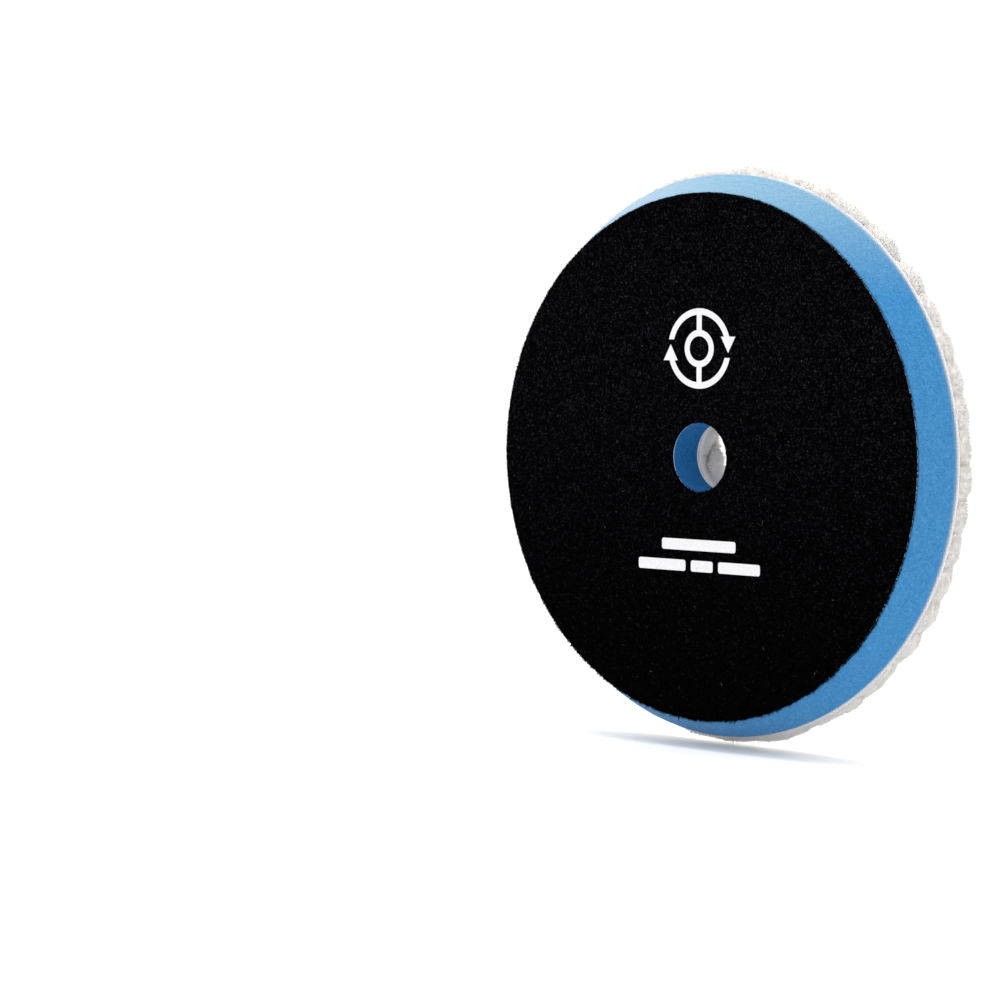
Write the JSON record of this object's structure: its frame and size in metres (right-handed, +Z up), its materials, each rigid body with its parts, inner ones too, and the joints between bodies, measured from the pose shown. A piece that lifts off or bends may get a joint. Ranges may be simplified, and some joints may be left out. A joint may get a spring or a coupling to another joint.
{
  "type": "polishing pad",
  "caption": "Round wool polishing pad with a ribbed wool pile face, a tapered foam interface, a hook-and-loop backing face and a centre hole.",
  "frame": {"origin": "centre of the loop face, on the spin axis", "axes": "+Y out of the loop face along the spin axis, towards the machine; -Y out of the wool face; +Z up across the rows of pile, towards the printed spin mark; +X along the rows"},
  "size_m": [0.1662, 0.0194, 0.1662],
  "materials": {
    "loop_fabric": "brushed loop fabric, matt",
    "print_film": "printed film, matt",
    "adhesive": "film of glue, satin",
    "foam": "open-cell foam, matt",
    "ground_cloth": "woven, matt",
    "wool_pile": "cut wool pile, matt"
  },
  "bodies": {
    "root": {"loop_fabric": "loop_fabric", "printed_spin_mark": "print_film", "printed_bar_upper": "print_film", "printed_bar_lower_left": "print_film", "printed_bar_lower_middle": "print_film", "printed_bar_lower_right": "print_film", "loop_adhesive": "adhesive", "foam_core": "foam", "wool_adhesive": "adhesive", "ground_cloth": "ground_cloth", "wool_row_01": "wool_pile", "wool_row_02": "wool_pile", "wool_row_03": "wool_pile", "wool_row_04": "wool_pile", "wool_row_05": "wool_pile", "wool_row_06": "wool_pile", "wool_row_07": "wool_pile", "wool_row_08": "wool_pile", "wool_row_09_left": "wool_pile", "wool_row_09_right": "wool_pile", "wool_row_10_left": "wool_pile", "wool_row_10_right": "wool_pile", "wool_row_11": "wool_pile", "wool_row_12": "wool_pile", "wool_row_13": "wool_pile", "wool_row_14": "wool_pile", "wool_row_15": "wool_pile", "wool_row_16": "wool_pile", "wool_row_17": "wool_pile", "wool_row_18": "wool_pile"}
  },
  "joints": []
}
